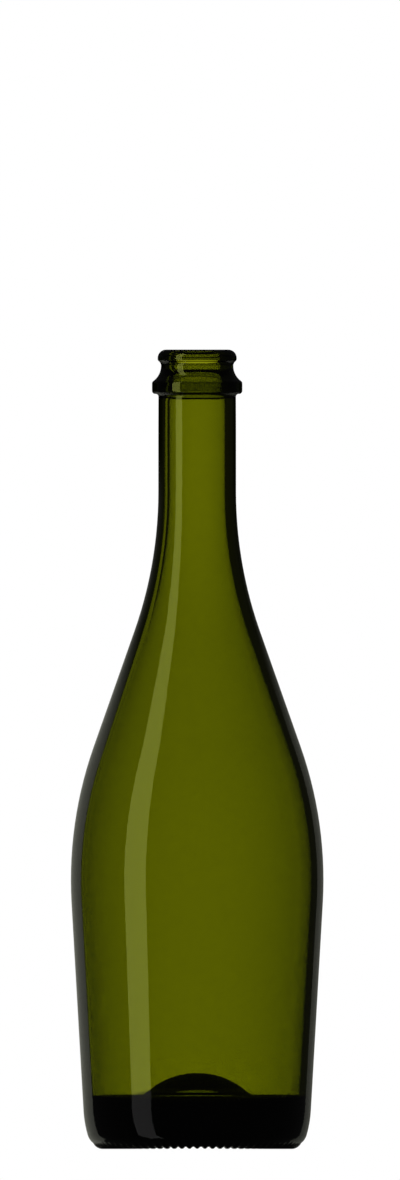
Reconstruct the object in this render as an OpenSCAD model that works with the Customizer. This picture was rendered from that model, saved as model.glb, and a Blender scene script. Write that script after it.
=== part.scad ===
// Empty sparkling-wine bottle in one piece of blown glass.
// It stands on the knurled ring at z = 0, with its axis on +Z. All sizes are in millimetres.

/* [Whole bottle] */
// Height from the bearing plane to the mouth plane
bottle_h = 292; // [284:1:315]

/* [Body] */
// Largest outside diameter
body_d = 92.2; // [90:0.1:95]
// Height of the largest diameter
belly_z = 98.3; // [94:0.1:103]
// Outside radius of the shoulder's long curve
shoulder_r = 146.1; // [134:0.1:160]
// Lean of the side below the belly, in degrees
body_taper = 3.3; // [2.6:0.1:3.8]
// Glass thickness of the body
body_wall = 4.3; // [3.6:0.1:5]

/* [Neck] */
// Lean of the straight stretch between shoulder and neck, in degrees
cone_angle = 19.4; // [18:0.1:21]
// Outside radius of the hollow curve into the neck
neck_curve_r = 153.8; // [139:0.1:168]
// Outside diameter of the straight neck
neck_d = 28.3; // [27.5:0.1:29.1]
// Glass thickness of the neck
neck_wall = 4; // [3.5:0.1:4.5]

/* [Heel] */
// Height where the side starts to turn in
heel_z = 14; // [12:0.1:15.5]
// Radius of the heel's long upper curve
heel_sweep_r = 40; // [36:0.5:44]
// Radius of the heel's tighter lower curve
heel_turn_r = 6; // [5.4:0.1:8]
// Height of the line where the base mould meets the side moulds
parting_z = 2.2; // [2:0.1:2.6]
// Radius of the base mould's outer edge
base_edge_r = 3.9; // [3.6:0.1:4.2]

/* [Bearing ring] */
// Outer diameter of the flat that the bottle stands on
bearing_d = 69; // [68.4:0.1:69.6]
// Radial width of that flat
bearing_w = 1.4; // [1:0.1:2.4]
// Radius of the edge between the flat and the punt
bearing_edge_r = 4; // [3:0.1:5]
// Number of knurl teeth round the ring
knurl_count = 76; // [60:4:80]
// Depth of the grooves between the teeth
knurl_depth = 0.85; // [0.5:0.05:1]
// Radius of the groove's round bottom
knurl_r = 1.1; // [0.9:0.05:1.15]
// Depth of the grooves that carry on up the heel
knurl_heel_depth = 0.5; // [0.3:0.05:0.7]

/* [Punt] */
// Height of the hollow under the bottle
punt_h = 21; // [18:0.1:22]
// Lean of that hollow's flank off level, in degrees
punt_lean = 40; // [37:0.5:44]
// Height of the dome inside the bottle
dome_h = 27.4; // [26:0.1:29]
// Lean of that dome's flank off level, in degrees
dome_lean = 41; // [39:0.5:44]
// Diameter of the circle where the floor starts to rise to that dome
dome_foot_d = 54.8; // [53:0.1:56]
// Height of the flat ring of floor inside the bottle
floor_z = 17.2; // [16.4:0.1:17.9]
// Radius from the inner wall into that floor
floor_wall_r = 3; // [2:0.1:4]
// Radius from that floor into the dome's flank
floor_dome_r = 15.1; // [14:0.1:16]

/* [Finish] */
// Outside diameter of the lip
lip_d = 28.9; // [28.4:0.05:29.3]
// Height of the lip's straight widest band
lip_land = 0.3; // [0.2:0.1:0.8]
// Radius over the lip, from that band to the mouth plane
lip_top_r = 3.1; // [2.8:0.05:3.4]
// Share of the curve under the lip that bulges out
lip_under_share = 0.34; // [0.25:0.01:0.6]
// Smallest diameter of the groove under the lip
groove_d = 26.4; // [26:0.05:26.9]
// Depth of that smallest circle below the mouth plane
groove_drop = 5.9; // [5.5:0.05:6.4]
// Outside diameter of the collar
collar_d = 33; // [32.4:0.1:33.6]
// Radius of the hollow curve from the groove to the collar
collar_sweep_r = 6.9; // [6:0.1:7.6]
// Radius of the collar's upper and lower edges
collar_edge_r = 1.2; // [0.9:0.05:1.3]
// Depth of the collar's underside below the mouth plane
collar_drop = 16.2; // [15.5:0.1:17]
// Radius of the corner between neck and collar
collar_root_r = 1; // [0.5:0.05:1.1]

/* [Bore] */
// Diameter of the straight throat
throat_d = 17; // [16.6:0.05:17.4]
// Length of the straight throat
throat_len = 7.4; // [6:0.1:9]
// Radius of the throat's edge at the mouth
throat_edge_r = 0.8; // [0.4:0.05:1.2]
// Height over which the throat widens to the neck's bore
throat_flare_len = 11; // [9:0.5:16]

/* [Hidden] */

// Furthest that a chord stands off its arc, and the least distance between two points of a line
chord_tol = 0.02;
point_gap = 0.002;
// Steps round the axis
round_fn = 144;
// Sides of the cutter for the flat's grooves
flat_groove_fn = 32;
// Sides of the heel grooves' V-shaped cutter, its lean, and its reach past the heel's edge
heel_groove_fn = 6;
heel_groove_lean = 45;
heel_groove_reach = 4;

glass_colour = [0.33, 0.36, 0.02];

bearing_r = bearing_d / 2;
bearing_in_r = bearing_r - bearing_w;
neck_r = neck_d / 2;
collar_r = collar_d / 2;
collar_z = bottle_h - collar_drop;
groove_r = groove_d / 2;
groove_z = bottle_h - groove_drop;
lip_r = lip_d / 2;
throat_r = throat_d / 2;

function polar(a) = [cos(a), sin(a)];

// Points on a circle about c, from angle a to angle b
function arc(c, r, a, b) =
    let (n = max(2, ceil(abs(b - a) / (2 * acos(1 - chord_tol / r)))))
    [for (i = [0 : n]) c + r * polar(a + (b - a) * i / n)];

// Two arcs that leave p upright and reach q upright. The first has the given share of the radii
function ogee(p, q, share) =
    let (across = q.x - p.x, up = q.y - p.y, side = sign(across), way = -side * sign(up))
    let (radii = (across ^ 2 + up ^ 2) / (2 * abs(across)), turn = 2 * atan(abs(across / up)))
    let (first = radii * share, second = radii - first, start = side > 0 ? 180 : 0)
    concat(
        arc(p + [side * first, 0], first, start, start + way * turn),
        arc(q - [side * second, 0], second, 180 - start + way * turn, 180 - start)
    );

// A dome of height h on the axis: its crown, its flank at the given lean, and the root arc that
// the flank runs into, down to its lowest point. The crown takes the radius that lets the flank do so
function dome(h, lean, root, root_r) =
    let (a = 90 - lean)
    let (crown_r = (root.x * cos(a) + (root.y - h) * sin(a) - root_r) / (1 - sin(a)))
    concat(arc([0, h - crown_r], crown_r, 90, a), arc(root, root_r, a + 180, 270));

// Where a circle of radius ra about a meets one of radius rb about b, on the left going from a to b
function meet(a, ra, b, rb) =
    let (gap = b - a, d = norm(gap), along = (d ^ 2 + ra ^ 2 - rb ^ 2) / (2 * d))
    a + (gap * along + [-gap.y, gap.x] * sqrt(ra ^ 2 - along ^ 2)) / d;

// A line with its doubled points dropped, where two stretches join
function joined(line) =
    [for (i = [0 : len(line) - 1]) if (i == 0 || norm(line[i] - line[i - 1]) > point_gap) line[i]];

function reversed(line) = [for (i = [len(line) - 1 : -1 : 0]) line[i]];

// A side wall from the top of the taper to the straight neck, lying deeper in the glass where asked
function side(body_depth, neck_depth) =
    let (shoulder = [body_d / 2 - shoulder_r, belly_z], shoulder_arc = shoulder_r - body_depth)
    let (neck_arc = neck_curve_r + neck_depth, neck_x = neck_r - neck_depth + neck_arc)
    let (arcs = shoulder_arc + neck_arc, run = arcs * cos(cone_angle) - (neck_x - shoulder.x))
    let (rise = arcs * sin(cone_angle) + run / tan(cone_angle))
    concat(
        arc(shoulder, shoulder_arc, -body_taper, cone_angle),
        arc([neck_x, belly_z + rise], neck_arc, 180 + cone_angle, 180)
    );

// Radius of the tapered wall at height z, at a depth into the glass
function taper_r(z, depth) =
    body_d / 2 - shoulder_r + (shoulder_r - depth + (z - belly_z) * sin(body_taper)) / cos(body_taper);

// The hollow under the bottle, out to the flat it stands on
function under_line() =
    dome(punt_h, punt_lean, [bearing_in_r, bearing_edge_r], bearing_edge_r);

// The base mould's outer edge, up to the parting line
base_edge = [bearing_r, base_edge_r];
parting_turn = asin((base_edge_r - parting_z) / base_edge_r);
parting = base_edge + base_edge_r * polar(-parting_turn);

// The heel's two curves: the lower starts at the parting line, and the upper runs into the taper
heel_sweep = [taper_r(heel_z, 0), heel_z] - heel_sweep_r * polar(-body_taper);
heel_turn = meet(heel_sweep, heel_sweep_r - heel_turn_r, parting, heel_turn_r);

function direction(from, to) = atan2(to.y - from.y, to.x - from.x);

function heel_line() =
    let (swing = direction(heel_sweep, heel_turn))
    concat(
        arc(base_edge, base_edge_r, -90, -parting_turn),
        arc(heel_turn, heel_turn_r, direction(heel_turn, parting), swing),
        arc(heel_sweep, heel_sweep_r, swing, -body_taper)
    );

// The collar, the groove and the lip, up to the mouth plane
function finish_line() =
    let (radii = collar_sweep_r + collar_edge_r, turn = acos(1 - (collar_r - groove_r) / radii))
    let (edge_x = collar_r - collar_edge_r, lip_z = bottle_h - lip_top_r)
    concat(
        arc([neck_r + collar_root_r, collar_z - collar_root_r], collar_root_r, 180, 90),
        arc([edge_x, collar_z + collar_edge_r], collar_edge_r, -90, 0),
        arc([edge_x, groove_z - radii * sin(turn)], collar_edge_r, 0, turn),
        arc([groove_r + collar_sweep_r, groove_z], collar_sweep_r, 180 + turn, 180),
        ogee([groove_r, groove_z], [lip_r, lip_z - lip_land], 1 - lip_under_share),
        arc([lip_r - lip_top_r, lip_z], lip_top_r, 0, 90)
    );

// The straight throat and its widening in two equal curves, down to the neck's bore
function throat_line() =
    let (top = bottle_h - throat_edge_r, foot = top - throat_len, equal_share = 0.5)
    concat(
        arc([throat_r + throat_edge_r, top], throat_edge_r, 90, 180),
        ogee([throat_r, foot], [neck_r - neck_wall, foot - throat_flare_len], equal_share)
    );

// The inner corner, the floor and the dome, in to the axis
function floor_line() =
    let (corner_z = floor_z + floor_wall_r, wall_z = corner_z - floor_wall_r * sin(body_taper))
    let (corner_x = taper_r(wall_z, body_wall) - floor_wall_r * cos(body_taper))
    concat(
        arc([corner_x, corner_z], floor_wall_r, -body_taper, -90),
        reversed(dome(dome_h, dome_lean, [dome_foot_d / 2, floor_z + floor_dome_r], floor_dome_r))
    );

// The wall's cross-section, from the axis at the top of the hollow round to the axis at the top of the dome
function wall_section() =
    joined(concat(
        under_line(),
        heel_line(),
        side(0, 0),
        finish_line(),
        throat_line(),
        reversed(side(body_wall, neck_wall)),
        floor_line()
    ));

// One groove of the knurl: straight across the flat, then up the heel
module knurl_groove() {
    heel_cut = base_edge + (base_edge_r + knurl_r - knurl_heel_depth) * polar(-heel_groove_lean);
    translate([bearing_in_r - bearing_edge_r, 0, knurl_depth - knurl_r])
        rotate([0, 90, 0])
            cylinder(r = knurl_r, h = bearing_edge_r + bearing_w + base_edge_r, $fn = flat_groove_fn);
    translate([heel_cut.x, 0, heel_cut.y])
        rotate([0, 90 - heel_groove_lean, 0])
            cylinder(r = knurl_r, h = 2 * heel_groove_reach, center = true, $fn = heel_groove_fn);
}

module glass_bottle() {
    color(glass_colour)
        difference() {
            rotate_extrude($fn = round_fn)
                polygon(wall_section());
            for (i = [0 : knurl_count - 1])
                rotate([0, 0, (i + 0.5) * 360 / knurl_count])
                    knurl_groove();
        }
}

glass_bottle();
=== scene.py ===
"""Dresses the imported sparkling-wine bottle in olive-green glass and sets it in a small studio."""

import logging
import math
import sys
from dataclasses import dataclass, field
from enum import Enum

import bmesh
import bpy
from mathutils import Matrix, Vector


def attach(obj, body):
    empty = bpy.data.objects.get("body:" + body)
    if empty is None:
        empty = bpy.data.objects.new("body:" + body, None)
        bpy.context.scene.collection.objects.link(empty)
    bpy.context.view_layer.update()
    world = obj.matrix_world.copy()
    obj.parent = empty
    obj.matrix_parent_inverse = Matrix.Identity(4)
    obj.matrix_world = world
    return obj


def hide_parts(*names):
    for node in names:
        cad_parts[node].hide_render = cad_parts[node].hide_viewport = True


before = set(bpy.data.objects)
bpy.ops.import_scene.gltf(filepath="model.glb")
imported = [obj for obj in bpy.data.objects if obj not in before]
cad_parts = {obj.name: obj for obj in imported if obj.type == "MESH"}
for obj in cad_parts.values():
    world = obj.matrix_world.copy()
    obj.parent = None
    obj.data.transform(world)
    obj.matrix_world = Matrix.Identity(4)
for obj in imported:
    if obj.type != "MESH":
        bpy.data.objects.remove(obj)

log = logging.getLogger("bottle")

MM = 0.001
MERGE_GAP = 1e-7  # metres under which two points are one
ONE_BOUNCE = 0.5  # between no bounce and one, in Light Path's counts
WHITE = (1.0, 1.0, 1.0, 1.0)

Color = tuple[float, float, float]
Line = list[Vector]


class Side(Enum):
    """The side of the bottle that a card stands on, as the camera sees it."""

    LEFT = -1
    RIGHT = 1


def polar(degrees: float) -> Vector:
    """Returns the unit vector at an angle in degrees."""
    return Vector((math.cos(math.radians(degrees)), math.sin(math.radians(degrees))))


def angle_of(way: Vector) -> float:
    """Returns a vector's angle in degrees."""
    return math.degrees(math.atan2(way.y, way.x))


def node_tree(owner: bpy.types.ID) -> bpy.types.NodeTree:
    """Switches a material's or world's nodes on and empties them.

    Args:
        owner: the material or world.

    Returns:
        Its empty tree.
    """
    owner.use_nodes = True
    owner.node_tree.nodes.clear()
    return owner.node_tree


def math_node(
    tree: bpy.types.NodeTree, operation: str, *values: bpy.types.NodeSocket | float
) -> bpy.types.NodeSocket:
    """Adds a Math node.

    Args:
        tree: the tree that gets the node.
        operation: Blender's name of the operation.
        values: a socket or a number for each input.

    Returns:
        The node's output.
    """
    node = tree.nodes.new("ShaderNodeMath")
    node.operation = operation
    for socket, value in zip(node.inputs, values):
        if isinstance(value, bpy.types.NodeSocket):
            tree.links.new(value, socket)
        else:
            socket.default_value = value
    return node.outputs[0]


def height_fade_group() -> bpy.types.NodeTree:
    """Makes the group that fades a value between two heights of the piece it is on.

    Returns:
        A node group with inputs Low and High, in metres, and the output Mask: 0 below, 1 above.
    """
    name = "height_fade"
    if name in bpy.data.node_groups:
        return bpy.data.node_groups[name]
    group = bpy.data.node_groups.new(name, "ShaderNodeTree")
    for label in ("Low", "High"):
        group.interface.new_socket(label, in_out="INPUT", socket_type="NodeSocketFloat")
    group.interface.new_socket("Mask", in_out="OUTPUT", socket_type="NodeSocketFloat")
    entry = group.nodes.new("NodeGroupInput")
    leave = group.nodes.new("NodeGroupOutput")
    place = group.nodes.new("ShaderNodeTexCoord")
    split = group.nodes.new("ShaderNodeSeparateXYZ")
    spread = group.nodes.new("ShaderNodeMapRange")
    spread.interpolation_type = "SMOOTHSTEP"
    group.links.new(place.outputs["Object"], split.inputs[0])
    group.links.new(split.outputs["Z"], spread.inputs["Value"])
    group.links.new(entry.outputs["Low"], spread.inputs["From Min"])
    group.links.new(entry.outputs["High"], spread.inputs["From Max"])
    group.links.new(spread.outputs["Result"], leave.inputs["Mask"])
    return group


def height_fade(tree: bpy.types.NodeTree, low: float, high: float) -> bpy.types.NodeSocket:
    """Places the height fade in a material.

    Args:
        tree: the material's tree.
        low: height in metres where the mask is still 0.
        high: height in metres where the mask has reached 1.

    Returns:
        The mask's socket.
    """
    node = tree.nodes.new("ShaderNodeGroup")
    node.node_tree = height_fade_group()
    node.inputs["Low"].default_value = low
    node.inputs["High"].default_value = high
    return node.outputs["Mask"]


def mesh_piece(bm: bmesh.types.BMesh, name: str, material: bpy.types.Material) -> bpy.types.Object:
    """Turns a bmesh into a smooth piece in the scene.

    Args:
        bm: the finished bmesh, which is freed.
        name: the piece's name.
        material: its finish.

    Returns:
        The new object, at the origin.
    """
    mesh = bpy.data.meshes.new(name)
    for face in bm.faces:
        face.smooth = True
    bm.to_mesh(mesh)
    bm.free()
    mesh.materials.append(material)
    piece = bpy.data.objects.new(name, mesh)
    bpy.context.scene.collection.objects.link(piece)
    return piece


@dataclass(frozen=True)
class GlassFinish:
    """Olive container glass: clear, tinted through its thickness, scuffed where it stands."""

    ior: float = 1.52
    polish: float = 0.0
    scuff: float = 0.3
    scuff_top: float = 0.5 * MM
    tint: Color = (0.738, 0.754, 0.0)
    tint_density: float = 1000.0
    striae_scale: tuple[float, float, float] = (60.0, 60.0, 9.0)
    striae_detail: float = 1.0
    striae_height: float = 0.02 * MM
    striae_strength: float = 0.01

    def build(self) -> bpy.types.Material:
        """Builds the glass: surface, faint striae, scuffed foot and the tint inside.

        Returns:
            The material.
        """
        material = bpy.data.materials.new("olive_glass")
        tree = node_tree(material)
        links = tree.links
        shader = tree.nodes.new("ShaderNodeBsdfPrincipled")
        shader.inputs["Base Color"].default_value = WHITE
        shader.inputs["IOR"].default_value = self.ior
        shader.inputs["Transmission Weight"].default_value = 1.0
        foot = height_fade(tree, 0.0, self.scuff_top)
        worn = math_node(tree, "SUBTRACT", 1.0, foot)
        rough = math_node(tree, "MULTIPLY_ADD", worn, self.scuff, self.polish)
        links.new(rough, shader.inputs["Roughness"])
        place = tree.nodes.new("ShaderNodeTexCoord")
        stretch = tree.nodes.new("ShaderNodeMapping")
        stretch.inputs["Scale"].default_value = self.striae_scale
        noise = tree.nodes.new("ShaderNodeTexNoise")
        noise.inputs["Scale"].default_value = 1.0  # the mapping alone sets the striae's size
        noise.inputs["Detail"].default_value = self.striae_detail
        relief = tree.nodes.new("ShaderNodeBump")
        relief.inputs["Strength"].default_value = self.striae_strength
        relief.inputs["Distance"].default_value = self.striae_height
        links.new(place.outputs["Object"], stretch.inputs["Vector"])
        links.new(stretch.outputs["Vector"], noise.inputs["Vector"])
        links.new(noise.outputs["Fac"], relief.inputs["Height"])
        links.new(relief.outputs["Normal"], shader.inputs["Normal"])
        tint = tree.nodes.new("ShaderNodeVolumeAbsorption")
        tint.inputs["Color"].default_value = (*self.tint, 1)
        tint.inputs["Density"].default_value = self.tint_density
        end = tree.nodes.new("ShaderNodeOutputMaterial")
        links.new(shader.outputs[0], end.inputs["Surface"])
        links.new(tint.outputs[0], end.inputs["Volume"])
        return material


@dataclass
class GlassBottle:
    """The blown bottle, in millimetres and degrees.

    It is one closed wall, drawn as a cross-section that runs from the punt over the bearing
    ring, heel, shoulder and lip, and down the bore to the floor and the dome inside.
    """

    # Body, shoulder and neck
    height: float = 292.0
    body_d: float = 92.2
    belly_z: float = 98.3
    shoulder_r: float = 146.1
    body_taper: float = 3.3
    body_wall: float = 4.3
    cone_angle: float = 19.4
    neck_curve_r: float = 153.8
    neck_d: float = 28.3
    neck_wall: float = 4.0

    # Heel and base edge
    heel_z: float = 14.0
    heel_sweep_r: float = 40.0
    heel_turn_r: float = 6.0
    parting_z: float = 2.2
    base_edge_r: float = 3.9

    # Bearing ring and its knurl
    bearing_d: float = 69.0
    bearing_w: float = 1.4
    bearing_edge_r: float = 4.0
    knurl_count: int = 76
    knurl_depth: float = 0.85
    knurl_heel_depth: float = 0.5
    knurl_fade_z: float = 2.4

    # Punt, dome and inner floor
    punt_h: float = 21.0
    punt_lean: float = 40.0
    dome_h: float = 27.4
    dome_lean: float = 41.0
    dome_foot_d: float = 54.8
    floor_z: float = 17.2
    floor_wall_r: float = 3.0
    floor_dome_r: float = 15.1

    # Lip, groove and collar
    lip_d: float = 28.9
    lip_land: float = 0.3
    lip_top_r: float = 3.1
    lip_under_share: float = 0.34
    groove_d: float = 26.4
    groove_drop: float = 5.9
    collar_d: float = 33.0
    collar_sweep_r: float = 6.9
    collar_edge_r: float = 1.2
    collar_drop: float = 16.2
    collar_root_r: float = 1.0

    # Throat
    throat_d: float = 17.0
    throat_len: float = 7.4
    throat_edge_r: float = 0.8
    throat_flare_len: float = 11.0
    throat_flare_share: float = 0.5

    # Mould seams
    seam_height: float = 0.05
    seam_top_z: float = 274.0
    seam_half_width: float = 1e-4  # as the sine of the angle round the axis

    # Fineness of the mesh
    chord_tol: float = 0.015
    turn_limit: float = 11.0
    straight_limit: float = 15.0
    point_gap: float = 0.002
    arc_steps_min: int = 2
    steps_per_tooth: int = 6

    finish: GlassFinish = field(default_factory=GlassFinish)

    def arc(self, centre: Vector, radius: float, start: float, stop: float) -> Line:
        """Gives the points of an arc.

        Args:
            centre: its centre.
            radius: its radius.
            start: the angle in degrees that it starts at.
            stop: the angle in degrees that it ends at.

        Returns:
            The points, both ends included.
        """
        step = min(self.turn_limit, 2 * math.degrees(math.acos(1 - self.chord_tol / radius)))
        count = max(self.arc_steps_min, math.ceil(abs(stop - start) / step))
        angles = (start + (stop - start) * i / count for i in range(count + 1))
        return [centre + radius * polar(angle) for angle in angles]

    def ogee(self, begin: Vector, end: Vector, share: float) -> Line:
        """Joins two upright ends with two arcs.

        Args:
            begin: the first end.
            end: the second end.
            share: the first arc's share of both radii.

        Returns:
            The points of both arcs.
        """
        across, up = end.x - begin.x, end.y - begin.y
        side = math.copysign(1, across)
        way = -side * math.copysign(1, up)
        radii = (across**2 + up**2) / (2 * abs(across))
        turn = 2 * math.degrees(math.atan(abs(across / up)))
        first = radii * share
        second = radii - first
        start = 180 if side > 0 else 0
        return self.arc(
            begin + Vector((side * first, 0)), first, start, start + way * turn
        ) + self.arc(
            end - Vector((side * second, 0)), second, 180 - start + way * turn, 180 - start
        )

    def dome(self, top: float, lean: float, root: Vector, root_r: float) -> Line:
        """Draws a dome on the axis and the root arc that its flank runs into.

        Args:
            top: the dome's height.
            lean: its flank's lean off level, in degrees.
            root: the root arc's centre.
            root_r: the root arc's radius.

        Returns:
            The points from the axis to the root's lowest point.
        """
        flank = 90 - lean
        aim = polar(flank)
        crown_r = (root.x * aim.x + (root.y - top) * aim.y - root_r) / (1 - aim.y)
        crown = self.arc(Vector((0, top - crown_r)), crown_r, 90, flank)
        return crown + self.arc(root, root_r, flank + 180, 270)

    def side(self, body_depth: float, neck_depth: float) -> Line:
        """Draws a side wall from the taper to the straight neck.

        Args:
            body_depth: how deep in the body's glass the line lies.
            neck_depth: how deep in the neck's glass it lies.

        Returns:
            The points, upwards.
        """
        shoulder = Vector((self.body_d / 2 - self.shoulder_r, self.belly_z))
        shoulder_arc = self.shoulder_r - body_depth
        neck_arc = self.neck_curve_r + neck_depth
        neck_x = self.neck_d / 2 - neck_depth + neck_arc
        lean = math.radians(self.cone_angle)
        arcs = shoulder_arc + neck_arc
        run = arcs * math.cos(lean) - (neck_x - shoulder.x)
        rise = arcs * math.sin(lean) + run / math.tan(lean)
        neck = Vector((neck_x, self.belly_z + rise))
        return self.arc(shoulder, shoulder_arc, -self.body_taper, self.cone_angle) + self.arc(
            neck, neck_arc, 180 + self.cone_angle, 180
        )

    def taper_r(self, z: float, depth: float) -> float:
        """Works out the tapered wall's radius.

        Args:
            z: the height.
            depth: how deep in the glass.

        Returns:
            The radius there.
        """
        lean = math.radians(self.body_taper)
        reach = self.shoulder_r - depth + (z - self.belly_z) * math.sin(lean)
        return self.body_d / 2 - self.shoulder_r + reach / math.cos(lean)

    def heel_line(self) -> Line:
        """Draws the base edge, the heel's tight turn and its long sweep into the taper.

        Returns:
            The points, upwards.
        """
        edge = Vector((self.bearing_d / 2, self.base_edge_r))
        edge_turn = math.degrees(math.asin((self.base_edge_r - self.parting_z) / self.base_edge_r))
        parting = edge + self.base_edge_r * polar(-edge_turn)
        sweep = Vector((self.taper_r(self.heel_z, 0), self.heel_z))
        sweep -= self.heel_sweep_r * polar(-self.body_taper)
        # The turn starts at the parting line and touches the sweep from inside
        turn_r = self.heel_turn_r
        reach = self.heel_sweep_r - turn_r
        gap = parting - sweep
        along = (gap.length**2 + reach**2 - turn_r**2) / (2 * gap.length)
        aside = Vector((-gap.y, gap.x)) * math.sqrt(reach**2 - along**2)
        turn = sweep + (gap * along + aside) / gap.length
        touch = angle_of(turn - sweep)
        return (
            self.arc(edge, self.base_edge_r, -90, -edge_turn)
            + self.arc(turn, turn_r, angle_of(parting - turn), touch)
            + self.arc(sweep, self.heel_sweep_r, touch, -self.body_taper)
        )

    def finish_line(self) -> Line:
        """Draws the collar, the groove and the lip.

        Returns:
            The points from the neck up to the mouth plane.
        """
        neck_r, collar_r = self.neck_d / 2, self.collar_d / 2
        groove_r, lip_r = self.groove_d / 2, self.lip_d / 2
        collar_z, groove_z = self.height - self.collar_drop, self.height - self.groove_drop
        root_r, edge_r, sweep_r = self.collar_root_r, self.collar_edge_r, self.collar_sweep_r
        turn = math.degrees(math.acos(1 - (collar_r - groove_r) / (sweep_r + edge_r)))
        crest_z = groove_z - (sweep_r + edge_r) * math.sin(math.radians(turn))
        edge_x, lip_z = collar_r - edge_r, self.height - self.lip_top_r
        lip_foot = Vector((lip_r, lip_z - self.lip_land))
        return (
            self.arc(Vector((neck_r + root_r, collar_z - root_r)), root_r, 180, 90)
            + self.arc(Vector((edge_x, collar_z + edge_r)), edge_r, -90, 0)
            + self.arc(Vector((edge_x, crest_z)), edge_r, 0, turn)
            + self.arc(Vector((groove_r + sweep_r, groove_z)), sweep_r, 180 + turn, 180)
            + self.ogee(Vector((groove_r, groove_z)), lip_foot, 1 - self.lip_under_share)
            + self.arc(Vector((lip_r - self.lip_top_r, lip_z)), self.lip_top_r, 0, 90)
        )

    def throat_line(self) -> Line:
        """Draws the mouth's edge, the straight throat and its widening.

        Returns:
            The points from the mouth plane down to the neck's bore.
        """
        throat_r, edge_r = self.throat_d / 2, self.throat_edge_r
        top = self.height - edge_r
        foot = top - self.throat_len
        bore = Vector((self.neck_d / 2 - self.neck_wall, foot - self.throat_flare_len))
        return self.arc(Vector((throat_r + edge_r, top)), edge_r, 90, 180) + self.ogee(
            Vector((throat_r, foot)), bore, self.throat_flare_share
        )

    def floor_line(self) -> Line:
        """Draws the inner corner, the floor and the dome.

        Returns:
            The points from the wall in to the axis.
        """
        corner_r = self.floor_wall_r
        corner_z = self.floor_z + corner_r
        lean = math.radians(self.body_taper)
        wall_z = corner_z - corner_r * math.sin(lean)
        corner_x = self.taper_r(wall_z, self.body_wall) - corner_r * math.cos(lean)
        corner = self.arc(Vector((corner_x, corner_z)), corner_r, -self.body_taper, -90)
        root = Vector((self.dome_foot_d / 2, self.floor_z + self.floor_dome_r))
        return corner + self.dome(self.dome_h, self.dome_lean, root, self.floor_dome_r)[::-1]

    def wall_line(self) -> Line:
        """Joins all the stretches of the wall's cross-section.

        Returns:
            The points from the axis under the punt, over the lip, to the axis over the dome,
            without doubles and with long straights divided.
        """
        under_root = Vector((self.bearing_d / 2 - self.bearing_w, self.bearing_edge_r))
        stretches = (
            self.dome(self.punt_h, self.punt_lean, under_root, self.bearing_edge_r)
            + self.heel_line()
            + self.side(0, 0)
            + self.finish_line()
            + self.throat_line()
            + self.side(self.body_wall, self.neck_wall)[::-1]
            + self.floor_line()
        )
        line = [stretches[0]]
        for point in stretches[1:]:
            start = line[-1]
            gap = (point - start).length
            if gap > self.point_gap:
                parts = math.ceil(gap / self.straight_limit)
                line += [start.lerp(point, i / parts) for i in range(1, parts + 1)]
        return line

    def tooth_gap(self, z: float, around: float) -> float:
        """Works out how deep the knurl is pressed in, deepest between two teeth.

        Args:
            z: the height, below the knurl's upper end.
            around: the angle round the axis, in radians.

        Returns:
            The depth there.
        """
        fade = 1 - (z / self.knurl_fade_z) ** 2
        if z < self.knurl_heel_depth:
            deep = self.knurl_depth
        else:
            deep = self.knurl_heel_depth + (self.knurl_depth - self.knurl_heel_depth) * fade
        return deep * fade * (0.5 - 0.5 * math.cos(self.knurl_count * around))

    def press_details(self, bm: bmesh.types.BMesh) -> None:
        """Presses the knurl into the ring that the bottle stands on, and raises the mould seams.

        Args:
            bm: the spun bottle in metres, with outward normals.
        """
        inner_r = self.bearing_d / 2 - self.bearing_w - self.bearing_edge_r
        outer_r = self.body_d / 2
        moves = []
        for vert in bm.verts:
            r = math.hypot(vert.co.x, vert.co.y) / MM
            z = vert.co.z / MM
            around = math.atan2(vert.co.y, vert.co.x)
            outside = vert.normal.x * vert.co.x > 0
            on_seam = outside and abs(math.sin(around)) < self.seam_half_width
            if z < self.knurl_fade_z and inner_r < r < outer_r:
                moves.append((vert, -self.tooth_gap(z, around)))
            elif self.knurl_fade_z < z < self.seam_top_z and on_seam:
                moves.append((vert, self.seam_height))
        for vert, by in moves:
            vert.co += vert.normal * by * MM

    def build(self) -> bpy.types.Object:
        """Spins the wall and finishes it.

        Returns:
            The bottle, riding on the CAD body in place of its solid.
        """
        bm = bmesh.new()
        points = self.wall_line()
        verts = [bm.verts.new((p.x * MM, 0, p.y * MM)) for p in points]
        edges = [bm.edges.new(pair) for pair in zip(verts, verts[1:])]
        bmesh.ops.spin(
            bm,
            geom=verts + edges,
            cent=(0, 0, 0),
            axis=(0, 0, 1),
            angle=math.tau,
            steps=self.knurl_count * self.steps_per_tooth,
            use_merge=True,
        )
        bmesh.ops.remove_doubles(bm, verts=bm.verts, dist=MERGE_GAP)
        bmesh.ops.recalc_face_normals(bm, faces=bm.faces)
        bm.normal_update()
        self.press_details(bm)
        bm.normal_update()
        open_edges = sum(not edge.is_manifold for edge in bm.edges)
        log.info("bottle wall: %d points, %d open edges", len(points), open_edges)
        piece = mesh_piece(bm, "blown_bottle", self.finish.build())
        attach(piece, "root")
        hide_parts("glass_bottle")
        return piece


@dataclass(frozen=True)
class CardFinish:
    """A glowing card whose lower part may have another level than its upper part. Metres."""

    name: str
    upper: Color
    lower: Color
    fade_low: float
    fade_high: float

    def build(self) -> bpy.types.Material:
        """Builds the card's glow.

        Returns:
            The material.
        """
        material = bpy.data.materials.new(self.name)
        tree = node_tree(material)
        mix = tree.nodes.new("ShaderNodeMix")
        mix.data_type = "RGBA"
        tree.links.new(height_fade(tree, self.fade_low, self.fade_high), mix.inputs["Factor"])
        mix.inputs["A"].default_value = (*self.lower, 1)
        mix.inputs["B"].default_value = (*self.upper, 1)
        glow = tree.nodes.new("ShaderNodeEmission")
        tree.links.new(mix.outputs["Result"], glow.inputs["Color"])
        end = tree.nodes.new("ShaderNodeOutputMaterial")
        tree.links.new(glow.outputs[0], end.inputs["Surface"])
        return material


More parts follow.
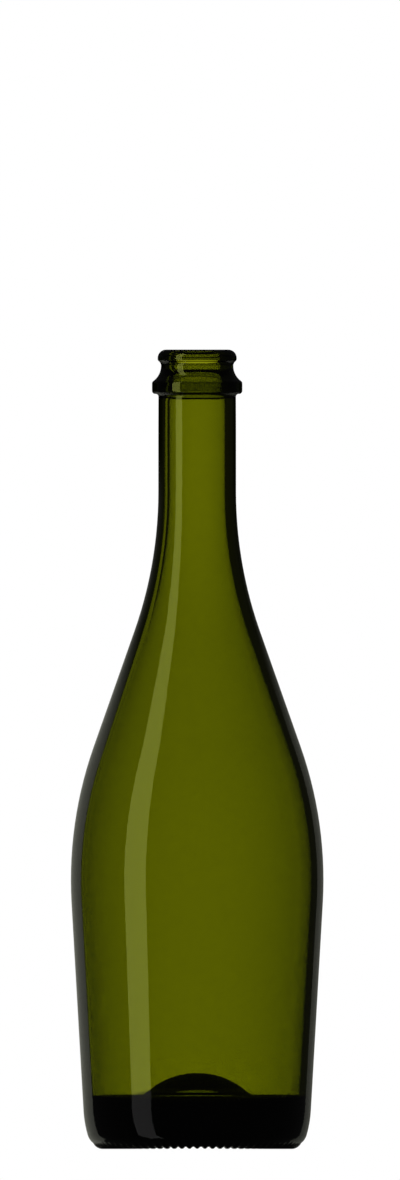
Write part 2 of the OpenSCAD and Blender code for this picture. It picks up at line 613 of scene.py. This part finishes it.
@dataclass(frozen=True)
class Card:
    """An upright curved card round the bottle, which only reflections show.

    Lengths are in metres. The card reaches from start to stop, in degrees from the front.
    """

    finish: CardFinish
    side: Side
    radius: float
    start: float
    stop: float
    low: float
    high: float
    steps: int = 24

    def build(self) -> bpy.types.Object:
        """Spins the card from an upright edge.

        Returns:
            The card, which only glossy rays see.
        """
        bm = bmesh.new()
        way = self.side.value
        angle = math.radians(self.start) * way
        foot = (self.radius * math.sin(angle), -self.radius * math.cos(angle), self.low)
        verts = [bm.verts.new(foot), bm.verts.new((foot[0], foot[1], self.high))]
        edge = bm.edges.new(verts)
        bmesh.ops.spin(
            bm,
            geom=[*verts, edge],
            cent=(0, 0, 0),
            axis=(0, 0, 1),
            angle=math.radians(self.stop - self.start) * way,
            steps=self.steps,
        )
        card = mesh_piece(bm, self.finish.name, self.finish.build())
        card.visible_camera = card.visible_diffuse = card.visible_transmission = False
        card.visible_shadow = card.visible_volume_scatter = False
        return card


STRIP_LIGHT = Card(
    CardFinish(
        name="strip_light",
        upper=(1.66, 1.84, 0.42),
        lower=(0.27, 0.27, 0.27),
        fade_low=-0.009,
        fade_high=-0.007,
    ),
    Side.LEFT,
    radius=0.3,
    start=44.5,
    stop=65.5,
    low=-0.35,
    high=0.7,
)
LEFT_CARD = Card(
    CardFinish(
        name="left_card",
        upper=(0.0, 0.0, 0.0),
        lower=(0.23, 0.235, 0.2),
        fade_low=0.17,
        fade_high=0.26,
    ),
    Side.LEFT,
    radius=0.2,
    start=122.0,
    stop=180.0,
    low=-0.1,
    high=0.3,
)
RIGHT_CARD = Card(
    CardFinish(
        name="right_card",
        upper=(0.0, 0.0, 0.0),
        lower=(0.115, 0.117, 0.1),
        fade_low=0.165,
        fade_high=0.25,
    ),
    Side.RIGHT,
    radius=0.2,
    start=132.0,
    stop=180.0,
    low=-0.1,
    high=0.3,
)


@dataclass(frozen=True)
class FloorFinish:
    """Pale matt paint, which gloss and rays bent inside the glass look past."""

    colour: Color = (0.9, 0.9, 0.9)

    def build(self) -> bpy.types.Material:
        """Builds the paint.

        Returns:
            The material.
        """
        material = bpy.data.materials.new("pale_floor")
        tree = node_tree(material)
        path = tree.nodes.new("ShaderNodeLightPath").outputs
        bounced = math_node(tree, "GREATER_THAN", path["Glossy Depth"], ONE_BOUNCE)
        hidden = math_node(tree, "MAXIMUM", path["Is Glossy Ray"], bounced)
        paint = tree.nodes.new("ShaderNodeBsdfDiffuse")
        paint.inputs["Color"].default_value = (*self.colour, 1)
        clear = tree.nodes.new("ShaderNodeBsdfTransparent")
        mix = tree.nodes.new("ShaderNodeMixShader")
        tree.links.new(hidden, mix.inputs[0])
        tree.links.new(paint.outputs[0], mix.inputs[1])
        tree.links.new(clear.outputs[0], mix.inputs[2])
        end = tree.nodes.new("ShaderNodeOutputMaterial")
        tree.links.new(mix.outputs[0], end.inputs["Surface"])
        return material


@dataclass
class Studio:
    """The white studio: floor, backdrop light, reflection cards, lamp and camera. Metres."""

    # Floor and cards
    floor_finish: FloorFinish = field(default_factory=FloorFinish)
    floor_radius: float = 8.0
    floor_segments: int = 96
    cards: tuple[Card, ...] = (STRIP_LIGHT, LEFT_CARD, RIGHT_CARD)

    # World: levels of light, and the middle and reach of two directions
    backdrop: float = 1.0
    fill: float = 0.85
    shade: float = 0.015
    edge_glow: float = 0.04
    edge_line: float = 0.9
    edge_sector: tuple[float, float] = (-0.69, 0.08)
    sky_fade: tuple[float, float] = (0.3, 0.55)

    # Camera: the photograph's size, and the bottle's axis and foot in its pixels
    photo_width: int = 400
    photo_height: int = 1180
    metres_per_pixel: float = 0.36527 * MM
    axis_x: float = 197.18
    foot_y: float = 1149.0
    camera_back: float = 1.2
    camera_tilt: float = 90.0
    camera_clip: tuple[float, float] = (0.01, 50.0)

    # Lamp
    lamp_power: float = 6.0
    lamp_size: float = 1.0
    lamp_place: tuple[float, float, float] = (-0.3, -0.4, 1.6)

    def build_world(self) -> None:
        """Lights the studio: white behind the glass, even fill, dark to the sides in gloss."""
        world = bpy.data.worlds.new("studio")
        bpy.context.scene.world = world
        world.cycles.sampling_method = "NONE"
        tree = node_tree(world)
        path = tree.nodes.new("ShaderNodeLightPath").outputs
        place = tree.nodes.new("ShaderNodeTexCoord")
        aim = tree.nodes.new("ShaderNodeSeparateXYZ")
        tree.links.new(place.outputs["Generated"], aim.inputs[0])

        # Rays that pass through without a bounce see the backdrop, which ends high and low
        rise = math_node(tree, "ABSOLUTE", aim.outputs["Z"])
        sky = tree.nodes.new("ShaderNodeMapRange")
        sky.interpolation_type = "SMOOTHSTEP"
        tree.links.new(rise, sky.inputs["Value"])
        sky.inputs["From Min"].default_value, sky.inputs["From Max"].default_value = self.sky_fade
        sky.inputs["To Min"].default_value, sky.inputs["To Max"].default_value = 1.0, 0.0
        straight = math_node(tree, "LESS_THAN", path["Glossy Depth"], ONE_BOUNCE)
        passed = math_node(tree, "MULTIPLY", path["Is Transmission Ray"], straight)
        through = math_node(tree, "MULTIPLY", passed, sky.outputs["Result"])

        # Rays that bounced inside the glass see little light, but for a sector behind on the left
        bent = math_node(tree, "SUBTRACT", path["Is Transmission Ray"], passed)
        sector = math_node(tree, "COMPARE", aim.outputs["X"], *self.edge_sector)
        behind = math_node(tree, "GREATER_THAN", aim.outputs["Y"], 0.0)
        sector = math_node(tree, "MULTIPLY", sector, behind)
        glow = math_node(tree, "MULTIPLY_ADD", sector, self.edge_line, self.edge_glow)
        level = math_node(tree, "MULTIPLY", bent, glow)

        for seen_by, strength in (
            (path["Is Camera Ray"], self.backdrop),
            (through, self.backdrop),
            (path["Is Diffuse Ray"], self.fill),
            (path["Is Glossy Ray"], self.shade),
        ):
            level = math_node(tree, "MULTIPLY_ADD", seen_by, strength, level)
        light = tree.nodes.new("ShaderNodeBackground")
        light.inputs["Color"].default_value = WHITE
        tree.links.new(level, light.inputs["Strength"])
        end = tree.nodes.new("ShaderNodeOutputWorld")
        tree.links.new(light.outputs[0], end.inputs["Surface"])

    def build_floor(self) -> None:
        """Lays the round floor in the plane that the bottle stands on."""
        bm = bmesh.new()
        bmesh.ops.create_circle(
            bm, cap_ends=True, segments=self.floor_segments, radius=self.floor_radius
        )
        mesh_piece(bm, "studio_floor", self.floor_finish.build())

    def build_cards(self) -> None:
        """Stands the strip light at the front left and the dim cards behind the bottle."""
        for card in self.cards:
            log.info("%s: studio", card.build().name)

    def build_lamp(self) -> None:
        """Hangs one soft lamp overhead, for the shadow on the floor."""
        data = bpy.data.lights.new("overhead", "AREA")
        data.size = self.lamp_size
        data.energy = self.lamp_power
        lamp = bpy.data.objects.new("overhead", data)
        lamp.location = self.lamp_place
        lamp.rotation_euler = (-lamp.location).to_track_quat("-Z", "Y").to_euler()
        lamp.visible_glossy = lamp.visible_transmission = lamp.visible_camera = False
        bpy.context.scene.collection.objects.link(lamp)

    def build_camera(self) -> None:
        """Sets the level camera so that the bottle stands where the photograph has it."""
        data = bpy.data.cameras.new("camera")
        data.type = "ORTHO"
        data.ortho_scale = self.photo_height * self.metres_per_pixel
        data.clip_start, data.clip_end = self.camera_clip
        camera = bpy.data.objects.new("camera", data)
        camera.location = (
            (self.photo_width / 2 - self.axis_x) * self.metres_per_pixel,
            -self.camera_back,
            (self.foot_y - self.photo_height / 2) * self.metres_per_pixel,
        )
        camera.rotation_euler = (math.radians(self.camera_tilt), 0, 0)
        bpy.context.scene.collection.objects.link(camera)
        bpy.context.scene.camera = camera

    def build(self) -> None:
        """Builds the whole studio and sets how its colours are shown."""
        bpy.context.scene.view_settings.view_transform = "Standard"
        self.build_world()
        self.build_floor()
        self.build_cards()
        self.build_lamp()
        self.build_camera()


def main() -> None:
    """Builds the bottle and its studio."""
    logging.basicConfig(level=logging.INFO, format="%(name)s: %(message)s", stream=sys.stdout)
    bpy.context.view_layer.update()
    bottle = GlassBottle().build()
    log.info("%s: %d faces", bottle.name, len(bottle.data.polygons))
    Studio().build()
    log.info("studio: floor, cards, lamp and camera")


if __name__ == "__main__":
    main()
